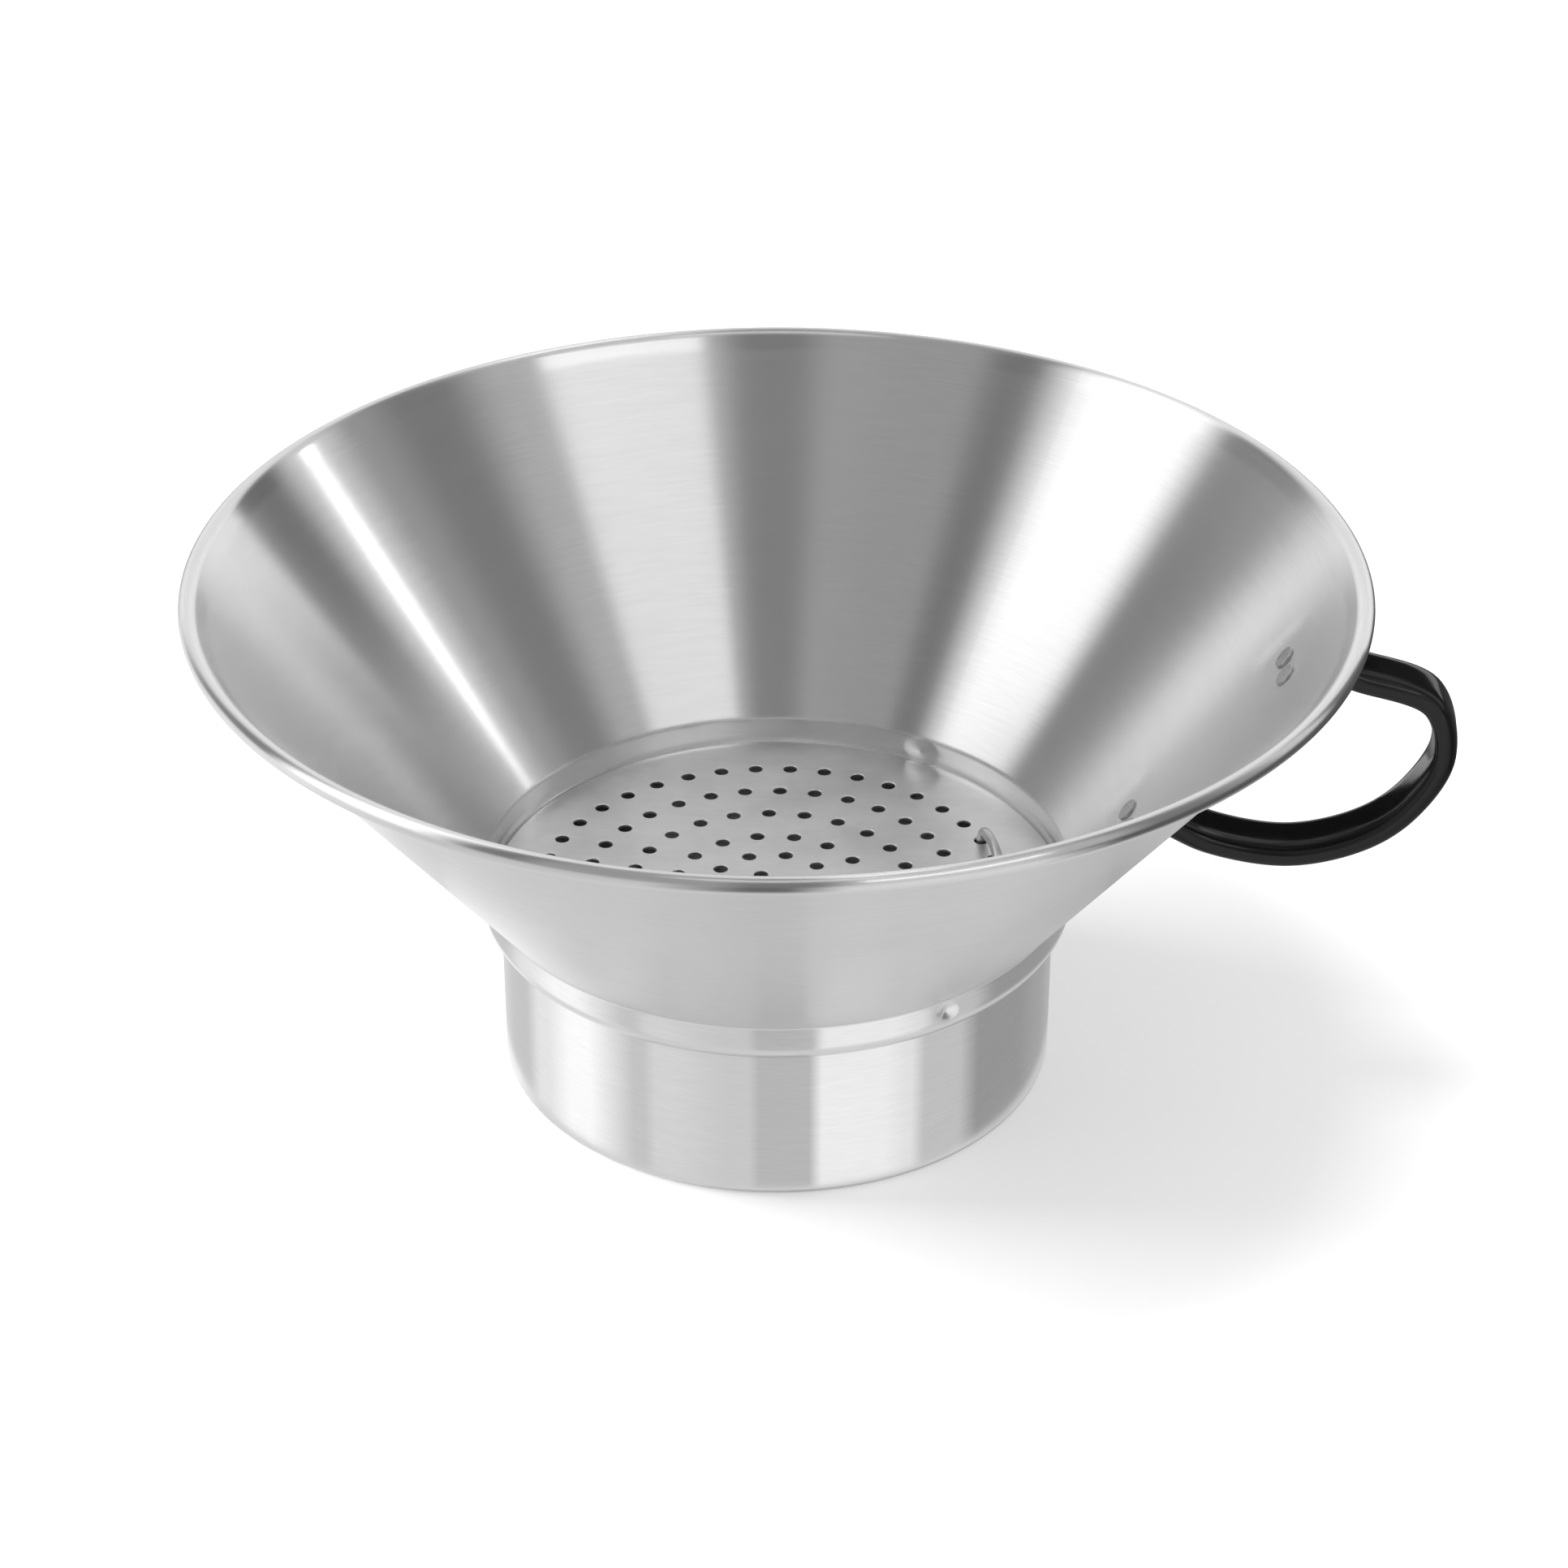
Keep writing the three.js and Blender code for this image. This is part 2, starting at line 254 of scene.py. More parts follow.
def make_piece(name, corners, faces, material):
    mesh = bpy.data.meshes.new(name)
    mesh.from_pydata([corner * MM for corner in corners], [], faces)
    work = bmesh.new()
    work.from_mesh(mesh)
    return finish_piece(mesh, work, material)


# Faces between rows of points, where a row of one point is a tip
def skin(rows, ring=True, closed=False):
    faces = []
    pairs = list(zip(rows, rows[1:]))
    if closed:
        pairs.append((rows[-1], rows[0]))
    for low, high in pairs:
        count = max(len(low), len(high))
        for j in range(count if ring else count - 1):
            k = (j + 1) % count
            corners = [low[j % len(low)], low[k % len(low)], high[k % len(high)], high[j % len(high)]]
            faces.append(list(dict.fromkeys(corners)))
    return faces


class Shell:
    """Rows of points that grow into one skin."""

    def __init__(self):
        self.corners = []
        self.rows = []

    def row(self, points):
        first = len(self.corners)
        self.corners += points
        self.rows.append(list(range(first, len(self.corners))))


# Spun body

cone_corner = Vector((neck_radius - half, cone_height))
curl_radius = (bead_diameter - sheet) / 2
curl_centre = Vector((rim_radius - bead_diameter / 2, rim_height - bead_diameter / 2))
lead_centre = curl_centre - Vector((0, bead_lead - curl_radius))
to_lead = lead_centre - cone_corner
cone_angle = math.atan2(to_lead.y, to_lead.x) + math.asin(bead_lead / to_lead.length)
slope = unit(cone_angle)
outward = Vector((slope.y, -slope.x))


def in_plane(point, across=0):
    return Vector((point.x, across, point.y))


def on_cone(height):
    return cone_corner + slope * ((height - cone_corner.y) / slope.y)


def sheet_line():
    axis = Vector((0, half))
    base = Vector((well_radius - half, half))
    crease = Vector((well_radius - half, crease_height))
    shoulder = Vector((neck_radius - half + neck_bulge, shoulder_height))
    curl_start = cone_angle + math.pi / 2
    curl_sweep = 2 * math.pi - math.acos(1 - (sheet + curl_gap) / (bead_diameter / 2))
    lead = arc(lead_centre, bead_lead, curl_start, math.pi / 2, 8)
    curl = arc(curl_centre, curl_radius, math.pi / 2, curl_start - curl_sweep, 24)
    return [
        axis,
        *fillet(axis, base, crease, base_corner - half, 8),
        *fillet(base, crease, shoulder, crease_round, 6),
        *fillet(crease, shoulder, cone_corner, shoulder_round, 12),
        *fillet(shoulder, cone_corner, lead[0], cone_round, 8),
        *lead,
        *curl[1:],
    ]


def sheet_step(point):
    if point.y < crease_height:
        return well_step
    return neck_step if point.y < cone_height + cone_round else cone_step


def turn_list():
    fine = [(math.radians(azimuth), math.radians(fine_at_dents)) for azimuth in dent_azimuths]
    fine.append((0, math.radians(fine_at_feet)))
    turns = []
    azimuth = -math.pi
    while azimuth < math.pi - math.radians(fine_step):
        turns.append(azimuth)
        near = any(abs(wrapped(azimuth - middle)) < reach for middle, reach in fine)
        azimuth += math.radians(fine_step if near else turn_step)
    return turns


def wrapped(angle):
    return (angle + math.pi) % (2 * math.pi) - math.pi


# A point of the spun sheet with the dents and the flat patches under the feet
def bowl_point(point, outside, azimuth):
    radius, height = point
    wide, tall, depth = dent_outside if outside else dent_inside
    for dent in dent_azimuths:
        across = radius * wrapped(azimuth - math.radians(dent))
        away = math.hypot(across / wide, (height - dent_height) / tall, dent_tip)
        if away < 1:
            radius -= depth * (1 - away) ** dent_point
    place = Vector((radius * math.cos(azimuth), radius * math.sin(azimuth), height))
    if abs(azimuth) > math.pi / 4:
        return place
    fall = (radius - place.x) * outward.x
    for rivet_height in rivet_heights.values():
        along = (point - on_cone(rivet_height)).dot(slope)
        share = ease(2 - 2 * abs(place.y) / flat_across) * ease(2 - 2 * abs(along) / flat_along)
        place += in_plane(outward) * fall * flat_share * share
    return place


def spun_bowl(material):
    line = spaced(sheet_line(), sheet_step)
    outer = offset(line, half)
    inner = offset(line, -half)
    outer[0].x = 0
    inner[0].x = 0
    middle = line[-1]
    start = math.atan2(*(outer[-1] - middle).yx)
    lip = arc(middle, half, start, start + math.pi, 6)[1:-1]
    outline = [(p, True) for p in outer + lip] + [(p, False) for p in reversed(inner)]
    shell = Shell()
    turns = turn_list()
    for point, outside in outline:
        around = turns if point.x > 0 else turns[:1]
        shell.row([bowl_point(point, outside, azimuth) for azimuth in around])
    return make_piece("spun_bowl", shell.corners, skin(shell.rows), material)


# Sieve plate

def hole_rings():
    rings = []
    for radius, turn in zip(ring_radii, ring_turns):
        count = round(2 * math.pi * radius / hole_pitch)
        start = math.radians(turn)
        middle = Vector((-pattern_shift, 0))
        rings.append(arc(middle, radius, start, start + 2 * math.pi, count)[:-1])
    return rings


# The rounded edge of a plate, as steps into the metal and heights, from the top to the underside
def edge_profile(edge, low, high):
    top = arc(Vector((edge, high - edge)), edge, math.pi / 2, math.pi, 3)
    bottom = arc(Vector((edge, low + edge)), edge, math.pi, 1.5 * math.pi, 3)
    return [Vector((edge + hold, high)), *top, *bottom, Vector((edge + hold, low))]


def sieve_disc(material):
    work = bmesh.new()
    loops = [(Vector((0, 0)), plate_radius, -1, 240)]
    loops += [(centre, hole_radius, 1, 28) for ring in hole_rings() for centre in ring]
    profile = edge_profile(plate_edge, plate_low.z, plate_high.z)
    flats = [[], []]
    for centre, radius, side, sides in loops:
        rows = []
        for step, height in profile:
            ring = arc(centre, radius + side * step, 0, 2 * math.pi, sides)[:-1]
            rows.append([work.verts.new((p.x * MM, p.y * MM, height * MM)) for p in ring])
        for low, high in zip(rows, rows[1:]):
            for j in range(sides):
                k = (j + 1) % sides
                work.faces.new((low[j], low[k], high[k], high[j]))
        for flat, row in zip(flats, (rows[0], rows[-1])):
            flat += [work.edges.get((row[j], row[(j + 1) % sides])) for j in range(sides)]
    for flat in flats:
        bmesh.ops.triangle_fill(work, use_beauty=True, edges=flat)
    return finish_piece(bpy.data.meshes.new("sieve_disc"), work, material)


# Sweeps

def tangents(path):
    count = len(path)
    return [(path[min(i + 1, count - 1)] - path[max(i - 1, 0)]).normalized() for i in range(count)]


# Sections set along a path, each with its own outline. One axis of the outline keeps its direction
def sweep(shell, path, sections, across):
    for place, tangent, section in zip(path, tangents(path), sections):
        lift = across.cross(tangent).normalized()
        shell.row([place + across * p.x + lift * p.y for p in section])


def wire_loop(material):
    first, last = (hole_rings()[0][index] for index in loop_holes)
    middle = first.lerp(last, 0.5)
    along = (last - first).normalized()
    reach = (last - first).length / 2
    under = plate_low.z - seat - wire
    top = plate_high.z
    side = [
        (reach + clinch_length, under),
        (reach + wire, under),
        (reach, under + wire),
        (reach, top),
        (reach - loop_lean, top + loop_rise - loop_crown),
    ]
    other = [(-out, height) for out, height in reversed(side)]
    line = []
    for out, height in [*side, (0, top + loop_rise), *other]:
        place = middle + along * out
        line.append(Vector((place.x, place.y, height)))
    path = smooth_curve(line, 10)
    shell = Shell()
    flat = Vector((-along.y, along.x, 0))
    section = arc(Vector((0, 0)), wire, 0, 2 * math.pi, 20)[:-1]
    shell.row([path[0]])
    sweep(shell, path, [section] * len(path), flat)
    shell.row([path[-1]])
    return make_piece("wire_loop", shell.corners, skin(shell.rows), material)


# Handle

def foot_middle(height):
    return on_cone(height) + outward * (half + seat + foot_thickness / 2)


def bend_corner(height):
    return foot_middle(height) + slope * (foot_length / 2 + strip_bend)


def handle_points():
    lower = bend_corner(rivet_heights["lower"])
    upper = bend_corner(rivet_heights["upper"])
    middle = lower.lerp(upper, 0.5)
    points = [lower + Vector(p) for p in lower_arm]
    points += [middle + Vector(p) for p in grip]
    points += [upper + Vector(p) for p in upper_arm]
    start = lower + (points[0] - lower).normalized() * strip_bend
    end = upper + (points[-1] - upper).normalized() * strip_bend
    return [start, *points, end]


def bend(start, corner, end, pieces=8):
    stops = [i / pieces for i in range(pieces + 1)]
    return [start.lerp(corner, t).lerp(corner.lerp(end, t), t) for t in stops]


def running_length(path):
    total = [0]
    for a, b in zip(path, path[1:]):
        total.append(total[-1] + (b - a).length)
    return total


def grip_sleeve(material):
    path = [in_plane(p) for p in smooth_curve(handle_points(), 14)]
    rounds = [sleeve_end_round * (1 - math.cos(i * math.pi / 10)) for i in range(1, 6)]
    first = (path[1] - path[0]).normalized()
    last = (path[-2] - path[-1]).normalized()
    path = [path[0], *(path[0] + first * r for r in rounds), *path[1:-1],
            *(path[-1] + last * r for r in reversed(rounds)), path[-1]]
    runs = running_length(path)
    sections = []
    for run in runs:
        near = min(run, runs[-1] - run, sleeve_end_round)
        inset = sleeve_end_round - math.sqrt(sleeve_end_round ** 2 - (sleeve_end_round - near) ** 2)
        width = sleeve_width - 2 * inset
        height = sleeve_height - 2 * inset
        sections.append(full_oval(width, height, sleeve_fullness))
    bore = full_oval(strip_width + 2 * seat, strip_thickness + 2 * seat, bore_fullness)
    shell = Shell()
    across = Vector((0, 1, 0))
    sweep(shell, path, sections, across)
    inside = Shell()
    sweep(inside, path, [bore] * len(path), across)
    for row in reversed(inside.rows):
        shell.row([inside.corners[i] for i in row])
    return make_piece("grip_sleeve", shell.corners, skin(shell.rows, closed=True), material)


# The strip's half width at a distance from the end of its foot
def foot_half_width(run):
    wide = foot_width / 2
    if run < foot_corner:
        return wide - foot_corner + math.sqrt(foot_corner ** 2 - (foot_corner - run) ** 2)
    past = run - (foot_length - foot_corner)
    return wide - (wide - strip_width / 2) * ease(past / foot_corner)


def handle_strip(material):
    loop = handle_points()
    path = []
    for name, end in (("lower", loop[0]), ("upper", loop[-1])):
        corner = bend_corner(rivet_heights[name])
        toe = foot_middle(rivet_heights[name]) - slope * foot_length / 2
        foot = [toe + slope * foot_length * (i / foot_rows) ** 1.5 for i in range(foot_rows)]
        path.append([*foot, *bend(corner - slope * strip_bend, corner, end)])
    lower, upper = path
    whole = [*lower[:-1], *smooth_curve(loop, 14), *reversed(upper[:-1])]
    place = [in_plane(p) for p in whole]
    runs = running_length(place)
    sections = []
    for run in runs:
        near = min(run, runs[-1] - run)
        on_foot = ease((foot_length - near) / 2)
        thickness = strip_thickness + (foot_thickness - strip_thickness) * on_foot
        end = min(1, toe_share + near)
        width = 2 * foot_half_width(max(near, toe_reach))
        sections.append(rounded_rectangle(width, thickness * end, strip_corner * end, 3))
    shell = Shell()
    across = Vector((0, 1, 0))
    shell.row([place[0]])
    sweep(shell, place, sections, across)
    shell.row([place[-1]])
    return make_piece("handle_strip", shell.corners, skin(shell.rows), material)


# Rivets

# The profile runs along the rivet from the head inside the bowl to the tail on the foot
def rivet(name, height, across, material):
    seat_in = -half
    seat_out = half + seat + foot_thickness
    head_in = seat_in - head_height
    tail_out = seat_out + tail_height
    head_middle = Vector((head_radius - head_round, head_in + head_round))
    tail_middle = Vector((tail_radius - tail_round, tail_out - tail_round))
    profile = [
        Vector((0, head_in)),
        Vector((head_radius - head_round - hold, head_in)),
        *arc(head_middle, head_round, -math.pi / 2, 0, 5),
        Vector((head_radius, seat_in)),
        Vector((shank_radius, seat_in)),
        Vector((shank_radius, seat_out)),
        Vector((tail_radius, seat_out)),
        *arc(tail_middle, tail_round, 0, math.pi / 2, 7),
        Vector((0, tail_out)),
    ]
    axis = in_plane(outward)
    middle = in_plane(on_cone(height), across)
    spokes = arc(Vector((0, 0)), 1, 0, 2 * math.pi, rivet_sides)[:-1]
    shell = Shell()
    for point in profile:
        around = spokes if point.x > 0 else spokes[:1]
        shell.row([middle + axis * point.y + in_plane(slope * p.x, p.y) * point.x for p in around])
    return make_piece(name, shell.corners, skin(shell.rows), material)


# Materials

def node(tree, kind, sockets=(), **settings):
    made = tree.nodes.new(kind)
    for key, value in settings.items():
        setattr(made, key, value)
    for key, value in dict(sockets).items():
        if isinstance(value, bpy.types.NodeSocket):
            tree.links.new(value, made.inputs[key])
        else:
            made.inputs[key].default_value = value
    return made


def new_material(name):
    material = bpy.data.materials.new(name)
    material.use_nodes = True
    material.node_tree.nodes.clear()
    return material, material.node_tree


def math_node(tree, operation, first, second=0.0):
    return node(tree, "ShaderNodeMath", {0: first, 1: second}, operation=operation).outputs[0]


def noise(tree, vector, scale, detail=2.0, roughness=0.5):
    sockets = {"Vector": vector, "Scale": scale, "Detail": detail, "Roughness": roughness}
    return node(tree, "ShaderNodeTexNoise", sockets).outputs["Fac"]


def ranged(tree, value, low, high, to_low, to_high):
    sockets = {"Value": value, "From Min": low, "From Max": high, "To Min": to_low, "To Max": to_high}
    return node(tree, "ShaderNodeMapRange", sockets).outputs["Result"]


# The span that most of a noise lies in, moved to other values
def spread(tree, value, to_low, to_high):
    return ranged(tree, value, 0.3, 0.7, to_low, to_high)


def object_place(tree):
    return node(tree, "ShaderNodeTexCoord").outputs["Object"]


def grey(tree, value):
    return node(tree, "ShaderNodeCombineColor", {0: value, 1: value, 2: value}).outputs["Color"]


# Coordinates that are stretched round the axis, so that noise becomes lathe lines
def lathe_place(tree, round_scale, line_scale):
    place = object_place(tree)
    split = node(tree, "ShaderNodeSeparateXYZ", {0: place})
    x, y, z = split.outputs
    flat = node(tree, "ShaderNodeCombineXYZ", {"X": x, "Y": y}).outputs[0]
    radius = node(tree, "ShaderNodeVectorMath", {0: flat}, operation="LENGTH").outputs["Value"]
    turn = node(tree, "ShaderNodeVectorMath", {0: flat}, operation="NORMALIZE").outputs["Vector"]
    wound = node(tree, "ShaderNodeVectorMath", {0: turn, 1: (round_scale,) * 3}, operation="MULTIPLY")
    along = math_node(tree, "MULTIPLY", math_node(tree, "ADD", radius, z), line_scale)
    lift = node(tree, "ShaderNodeCombineXYZ", {"Z": along}).outputs[0]
    return node(tree, "ShaderNodeVectorMath", {0: wound.outputs[0], 1: lift}, operation="ADD").outputs[0]


def finish_surface(tree, shader):
    node(tree, "ShaderNodeOutputMaterial", {"Surface": shader.outputs[0]})


def spun_aluminium():
    material, tree = new_material("spun_aluminium")
    fine = noise(tree, lathe_place(tree, round_scale=11, line_scale=2600), 1.0, 3.0, 0.6)
    broad = noise(tree, lathe_place(tree, round_scale=5, line_scale=420), 1.0, 3.0, 0.6)
    mottle = noise(tree, object_place(tree), 28.0, 4.0, 0.6)
    tone = math_node(tree, "ADD", spread(tree, fine, -0.022, 0.022),
                     spread(tree, broad, 0.762, 0.782))
    tone = math_node(tree, "MULTIPLY", tone, spread(tree, mottle, 0.985, 1.01))
    bump = node(tree, "ShaderNodeBump", {"Strength": 0.02, "Distance": 0.0001, "Height": fine})
    height = node(tree, "ShaderNodeSeparateXYZ", {0: object_place(tree)}).outputs["Z"]
    bead_low = (rim_height - bead_diameter) * MM
    body_rough = ranged(tree, height, cone_height * MM - MM, cone_height * MM + MM, 0.17, 0.25)
    bead_rough = ranged(tree, height, bead_low - MM, bead_low + MM, 0.0, -0.05)
    tangent = node(tree, "ShaderNodeTangent", direction_type="RADIAL", axis="Z")
    shader = node(tree, "ShaderNodeBsdfPrincipled", {
        "Base Color": grey(tree, tone),
        "Metallic": 1.0,
        "Roughness": math_node(tree, "ADD", body_rough, bead_rough),
        "Anisotropic": 1.0,
        "Anisotropic Rotation": 0.25,
        "Tangent": tangent.outputs[0],
        "Normal": bump.outputs[0],
    })
    finish_surface(tree, shader)
    return material


def plate_aluminium():
    material, tree = new_material("plate_aluminium")
    place = object_place(tree)
    grain_place = node(tree, "ShaderNodeMapping", {"Vector": place, "Scale": (60.0, 2400.0, 60.0)})
    grain = noise(tree, grain_place.outputs[0], 1.0, 2.0)
    smudge = noise(tree, place, 45.0, 5.0, 0.62)
    tone = math_node(tree, "ADD", spread(tree, grain, -0.02, 0.02),
                     ranged(tree, smudge, 0.35, 0.65, 0.79, 0.88))
    bump = node(tree, "ShaderNodeBump", {"Strength": 0.1, "Distance": 0.0001, "Height": grain})
    shader = node(tree, "ShaderNodeBsdfPrincipled", {
        "Base Color": grey(tree, tone),
        "Metallic": 1.0,
        "Roughness": spread(tree, smudge, 0.34, 0.46),
        "Normal": bump.outputs[0],
    })
    finish_surface(tree, shader)
    return material


def rivet_aluminium():
    material, tree = new_material("rivet_aluminium")
    place = object_place(tree)
    pits = noise(tree, place, 900.0, 3.0)
    tone = spread(tree, noise(tree, place, 300.0, 3.0), 0.46, 0.53)
    bump = node(tree, "ShaderNodeBump", {"Strength": 0.15, "Distance": 0.0001, "Height": pits})
    shader = node(tree, "ShaderNodeBsdfPrincipled", {
        "Base Color": grey(tree, tone),
        "Metallic": 1.0,
        "Roughness": spread(tree, pits, 0.26, 0.36),
        "Normal": bump.outputs[0],
    })
    finish_surface(tree, shader)
    return material


def steel():
    material, tree = new_material("steel")
    place = object_place(tree)
    drawn = noise(tree, place, 700.0, 3.0)
    tone = spread(tree, noise(tree, place, 160.0, 4.0), 0.52, 0.64)
    bump = node(tree, "ShaderNodeBump", {"Strength": 0.08, "Distance": 0.0001, "Height": drawn})
    shader = node(tree, "ShaderNodeBsdfPrincipled", {
        "Base Color": grey(tree, tone),
        "Metallic": 1.0,
        "Roughness": spread(tree, drawn, 0.3, 0.4),
        "Normal": bump.outputs[0],
    })
    finish_surface(tree, shader)
    return material


def black_plastic():
    material, tree = new_material("black_plastic")
    place = object_place(tree)
    waves = noise(tree, place, 60.0, 2.0)
    dust = noise(tree, place, 1500.0, 2.0)
    tone = ranged(tree, dust, 0.62, 0.8, 0.006, 0.016)
    bump = node(tree, "ShaderNodeBump", {"Strength": 0.12, "Distance": 0.0006, "Height": waves})
    shader = node(tree, "ShaderNodeBsdfPrincipled", {
        "Base Color": grey(tree, tone),
        "Roughness": spread(tree, noise(tree, place, 90.0, 4.0), 0.1, 0.18),
        "IOR": 1.4,
        "Normal": bump.outputs[0],
    })
    finish_surface(tree, shader)
    return material


# Object

aluminium = spun_aluminium()
plate_metal = plate_aluminium()
rivet_metal = rivet_aluminium()
steel_metal = steel()
plastic = black_plastic()


def dress(piece, body, replaced):
    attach(piece, body)
    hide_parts(replaced)


dress(spun_bowl(aluminium), "colander", "body")
dress(handle_strip(steel_metal), "colander", "handle_core")
dress(grip_sleeve(plastic), "colander", "handle_sleeve")
dress(sieve_disc(plate_metal), "sieve", "sieve_plate")
dress(wire_loop(steel_metal), "sieve", "lift_loop")
for level, rivet_height in rivet_heights.items():
    for side, across in (("front", -rivet_spacing / 2), ("rear", rivet_spacing / 2)):
        piece = rivet(f"{level}_{side}_rivet", rivet_height, across, rivet_metal)
        dress(piece, "colander", f"rivet_{level}_{side}")

# Studio: it is turned with the camera, which looks along +Y there. Brightnesses have white as 1

studio_turn = 5.7
card_step = 0.5  # degrees between the points of a card
front_end = 2  # degrees by which each end of the table and the fences stays short of a half turn
dome_radius = 8000
dome_top = 80
dome_step = 2
view_share = 0.81  # level share of the direction towards the camera
# The dome's white back: brightness, a whiter band over the rim, and its start and fade on each side
dome_back = 0.92
dome_glow = 0.1
glow_elevations = (9, 28)
glow_edge = 5
back_right = (0.665, 0.05)
back_left = (0.56, 0.26)
# Below this elevation the dome fades into the far table
low_dome = 14
low_fade = 8
# Strips of the dome: azimuths of the wall, from the right, that mirror one, and its brightness
dome_strips = [
    (19, 32, 0.25),
    (37.3, 52.5, 1.5),
    (60, 64.5, 0.20),
    (67, 84, 0.38),
    (87.5, 94, 0.21),
    (98.7, 115, 0.62),
    (118.5, 123, 0.53),
    (129, 136, 0.23),
    (141, 144, 0.36),
    (147.5, 149, 0.70),
    (154, 155, 0.75),
    (159.5, 168, 0.16),
]
# A lamp on the dome: its strip, the elevations of its edges, its brightness and the width of its glow
lamp_strip = (98.2, 117)
lamp_elevations = (45, 57)
lamp_level = 1.75
lamp_glow = 3
# A short bright lamp near the object, behind it on the right, and where the rim sees it edge-on
tube_ends = [(397, 272, 342), (343, 302, 424)]
tube_rim = (188, -15, 180)
tube_width = 50
tube_level = 9
# What the well and the neck mirror, on a fence close round them
well_strips = [
    (5, 8, 0.86),
    (18, 27, 0.70),
    (32, 36, 1.00),
    (43, 49, 1.24),
    (60, 62.5, 0.71),
    (65, 69, 0.84),
    (80, 84.5, 0.74),
    (86.5, 96.5, 0.60),
    (99, 112, 1.08),
    (117, 118, 0.97),
    (121, 130, 0.67),
    (135, 150, 0.385),
    (158, 161, 0.44),
    (168, 175, 0.52),
]
well_fence = (well_radius, 97, 54.5)  # radius of the wall, and radius and height of its fence
neck_fence = (neck_radius, 145, 60)
# The table near the base, and far from it, where only the rim mirrors it
card_lift = 0.2
near_strips = [(10, 20, 1.15), (32, 50, 0.83), (60, 130, 0.78), (140, 175, 0.72)]
far_strips = [
    (5, 12, 0.3),
    (22, 45, 1.0),
    (60, 79, 0.7),
    (87.5, 91, 0.15),
    (96, 112, 0.85),
    (120, 170, 0.1),
]
near_reach = 150
far_reach = 300
table_reach = [1, 60, near_reach, far_reach, 800, dome_radius]
# Black flags beside the handle's arms: how far aside, heights over the arms, and gap at the bend
flag_aside = 22
flag_rises = (6, 24)
flag_gap = 22
flag_clear = 4  # least distance from the bowl
flag_level = 0.03
lower_stretch = 1
upper_stretch = 1.6


# Brightness for an azimuth of the wall: even along each strip, and blended over the gaps between them
def level_at(strips, azimuth):
    ends = [(place, level) for start, end, level in strips for place in (start, end)]
    first = ends[0][0]
    ends.append((first + 180, ends[0][1]))
    azimuth = (azimuth - first) % 180 + first
    for (low, before), (high, after) in zip(ends, ends[1:]):
        if azimuth <= high:
            return before + (after - before) * (azimuth - low) / (high - low)


def in_ring(azimuth, height, radius):
    place = unit(math.radians(azimuth)) * radius
    return Vector((place.x, place.y, height))


def glow_material(name):
    material, tree = new_material(name)
    level = node(tree, "ShaderNodeAttribute", attribute_name="level").outputs["Fac"]
    back = node(tree, "ShaderNodeNewGeometry").outputs["Backfacing"]
    glow = node(tree, "ShaderNodeEmission", {"Color": (1, 1, 1, 1), "Strength": level})
    clear = node(tree, "ShaderNodeBsdfTransparent")
    shader = node(tree, "ShaderNodeMixShader", {0: back, 1: glow.outputs[0], 2: clear.outputs[0]})
    finish_surface(tree, shader)
    return material


# Cards that only show in the object's gloss and from one side, from rows of places and their brightnesses
def reflected_card(name, rows, facing, turn=studio_turn, ring=False):
    shell = Shell()
    levels = []
    for row in rows:
        shell.row([place for place, level in row])
        levels += [level for place, level in row]
    piece = make_piece(name, shell.corners, skin(shell.rows, ring), glow_material(name))
    piece.data.attributes.new("level", "FLOAT", "POINT").data.foreach_set("value", levels)
    face = piece.data.polygons[0]
    if face.normal.dot(Vector(facing) * MM - face.center) < 0:
        piece.data.flip_normals()
    piece.rotation_euler.z = math.radians(turn)
    piece.visible_camera = False
    piece.visible_diffuse = False
    piece.visible_transmission = False
    piece.visible_shadow = False


# One between two ends and none outside them, with soft edges on the inside
def band(value, ends, edge):
    low, high = ends
    return ease((value - low) / edge) * ease((high - value) / edge)


# The dome, which is plain white behind the object
def dome_row(elevation):
    tilt = math.radians(elevation)
    row = []
    back = dome_back + dome_glow * band(elevation, glow_elevations, glow_edge)
    lamp = lamp_level * band(elevation, lamp_elevations, lamp_glow)
    low = ease((low_dome - elevation) / low_fade)
    for step in range(int(360 / card_step)):
        azimuth = step * card_step
        flat = unit(math.radians(azimuth)) * math.cos(tilt)
        wall = math.degrees(math.atan2(flat.y - view_share, flat.x))
        level = level_at(dome_strips, wall)
        level += (level_at(far_strips, wall) - level) * low
        if lamp_strip[0] < wall % 180 < lamp_strip[1]:
            level += lamp
        start, fade = back_right if flat.x > 0 else back_left
        level += (back - level) * ease((flat.y - start) / fade)
        place = in_ring(azimuth, dome_radius * math.sin(tilt), dome_radius * math.cos(tilt))
        row.append((place, level))
    return row


# Directions of the wall that face the camera
def front_azimuths():
    first = int(front_end / card_step)
    last = int((180 - front_end) / card_step)
    return [step * card_step - 180 for step in range(first, last + 1)]


# The table in front, in lines that run the way the wall of the well mirrors the view
def table_row(reach):
    row = []
    far = ease((reach - near_reach) / (far_reach - near_reach))
    for azimuth in front_azimuths():
        ray = unit(math.radians(2 * azimuth + 90)) * reach
        place = in_ring(azimuth, card_lift, well_radius) + Vector((ray.x, ray.y, 0))
        near = level_at(near_strips, azimuth)
        row.append((place, near + (level_at(far_strips, azimuth) - near) * far))
    return row


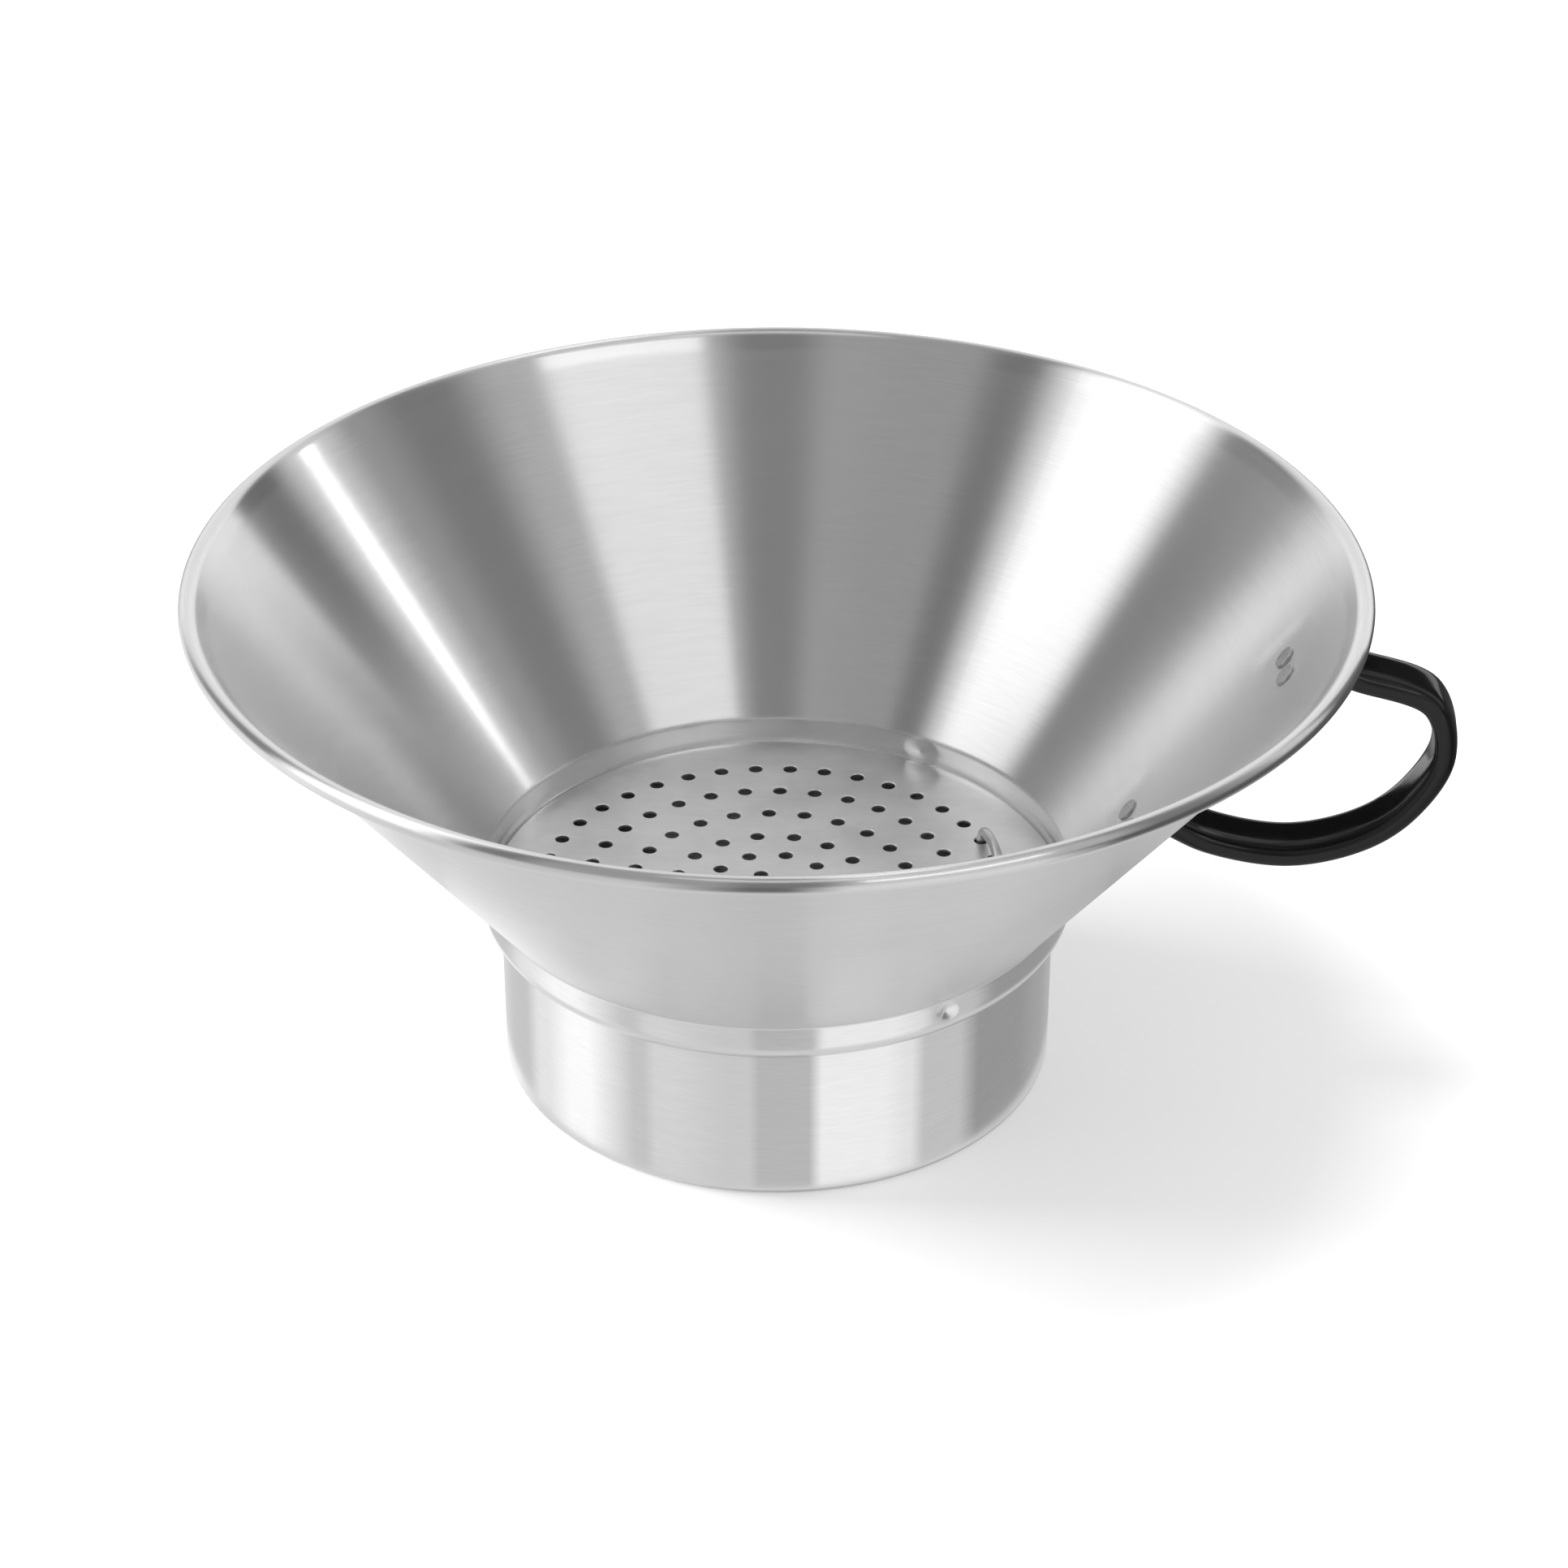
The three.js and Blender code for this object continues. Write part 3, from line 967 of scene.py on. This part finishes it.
# A fence round the well or the neck, set where the wall's mirror lines meet it
def fence_row(wall_radius, fence_radius, height):
    row = []
    for azimuth in front_azimuths():
        start = unit(math.radians(azimuth)) * wall_radius
        ray = unit(math.radians(2 * azimuth + 90))
        climb = start.dot(ray)
        place = start + ray * (math.sqrt(climb ** 2 + fence_radius ** 2 - wall_radius ** 2) - climb)
        row.append((Vector((place.x, place.y, height)), level_at(well_strips, azimuth)))
    return row


# A black flag beside one arm of the handle, clear of the bowl and stretched away from the arm's end
def flag_row(points, rise, stretch):
    row = []
    end = points[-1]
    for point in points:
        place = Vector((end.x + (point.x - end.x) * stretch, flag_aside, point.y + rise))
        if place.xy.length > on_cone(point.y + flag_rises[1]).x + flag_clear:
            row.append((place, flag_level))
    return row


def tube_rows():
    low, high = (Vector(end) for end in tube_ends)
    along = (high - low).normalized()
    to_rim = Vector(tube_rim) - low
    side = (to_rim - along * to_rim.dot(along)).normalized() * tube_width / 2
    return [[(end - side, tube_level), (end + side, tube_level)] for end in (low, high)]


above = (0, 0, 500)
in_bowl = (0, 0, 130)
in_well = (0, 0, 30)
in_front = (200, -500, 150)
dome_rows = [dome_row(elevation) for elevation in range(0, dome_top + 1, dome_step)]
reflected_card("dome_card", dome_rows, above, ring=True)
reflected_card("table_card", [table_row(reach) for reach in table_reach], above)
reflected_card("tube_card", tube_rows(), in_bowl)
for name, (wall_radius, radius, height) in (("well_card", well_fence), ("neck_card", neck_fence)):
    fence = [fence_row(wall_radius, radius, z) for z in (1.5 * card_lift, height)]
    reflected_card(name, fence, in_well)
handle_line = smooth_curve(handle_points(), 6)
outermost = max(range(len(handle_line)), key=lambda i: handle_line[i].x)
flag_end = handle_line[outermost].x - flag_gap
lower_line = [point for point in reversed(handle_line[:outermost]) if point.x < flag_end]
upper_line = handle_line[outermost:]
for name, arm, stretch in (
    ("lower_flag", lower_line, lower_stretch),
    ("upper_flag", upper_line, upper_stretch),
):
    reflected_card(name, [flag_row(arm, rise, stretch) for rise in flag_rises], in_front, turn=0)

# Floor, white to the camera except in the deepest shadow
floor_size = 12000
floor_drop = 0.05
floor_glow = 0.36
floor_bounce = 0.8
floor_share = 0.8
floor_grey = 0.8


def floor():
    material, tree = new_material("floor")
    path = node(tree, "ShaderNodeLightPath")
    seen = path.outputs["Is Camera Ray"]
    strength = ranged(tree, seen, 0.0, 1.0, floor_bounce, floor_glow / (1 - floor_share))
    white = node(tree, "ShaderNodeEmission", {"Color": (1, 1, 1, 1), "Strength": strength})
    card = node(tree, "ShaderNodeBsdfDiffuse", {"Color": (floor_grey, floor_grey, floor_grey, 1)})
    mixed = node(tree, "ShaderNodeMixShader", {0: floor_share, 1: white.outputs[0], 2: card.outputs[0]})
    finish_surface(tree, mixed)
    sides = [(-1, -1), (1, -1), (1, 1), (-1, 1)]
    corners = [Vector((x * floor_size, y * floor_size, -floor_drop)) for x, y in sides]
    make_piece("floor", corners, [[0, 1, 2, 3]], material)


floor()


def aim(thing, target):
    direction = Vector(target) * MM - thing.location
    thing.rotation_euler = direction.to_track_quat("-Z", "Y").to_euler()


# A lamp that the metal doesn't mirror
def softbox(name, place, target, width, height, watts):
    data = bpy.data.lights.new(name, "AREA")
    data.shape = "RECTANGLE"
    data.size = width * MM
    data.size_y = height * MM
    data.energy = watts
    lamp = add_to_scene(name, data)
    lamp.visible_glossy = False
    lamp.location = Vector(place) * MM
    aim(lamp, target)


sky_light = 0.9
bowl_middle = (0, 0, 120)
softbox("key_light", in_ring(174.7, 320, 1200), bowl_middle, width=560, height=400, watts=27)
softbox("top_light", (0, 0, 1700), bowl_middle, width=420, height=420, watts=11)


# White where it shows, and a little darker as a light
def studio_world():
    world = bpy.data.worlds.new("studio")
    bpy.context.scene.world = world
    world.use_nodes = True
    tree = world.node_tree
    tree.nodes.clear()
    path = node(tree, "ShaderNodeLightPath")
    seen = math_node(tree, "MAXIMUM", path.outputs["Is Camera Ray"], path.outputs["Is Glossy Ray"])
    seen = math_node(tree, "MAXIMUM", seen, path.outputs["Is Transmission Ray"])
    strength = ranged(tree, seen, 0.0, 1.0, sky_light, 1.0)
    sky = node(tree, "ShaderNodeBackground", {"Color": (1, 1, 1, 1), "Strength": strength})
    node(tree, "ShaderNodeOutputWorld", {"Surface": sky.outputs[0]})


studio_world()


camera_place = (110.1, -1079.3, 744.15)
camera_tilt = 59.296
camera_lens = 87.63
sensor_width = 36


def camera():
    data = bpy.data.cameras.new("camera")
    data.sensor_width = sensor_width
    data.lens = camera_lens
    data.clip_end = 5 * dome_radius * MM
    viewer = add_to_scene("camera", data)
    viewer.location = Vector(camera_place) * MM
    viewer.rotation_euler = (math.radians(camera_tilt), 0, math.radians(studio_turn))
    bpy.context.scene.camera = viewer


camera()
bpy.context.scene.view_settings.view_transform = "Standard"
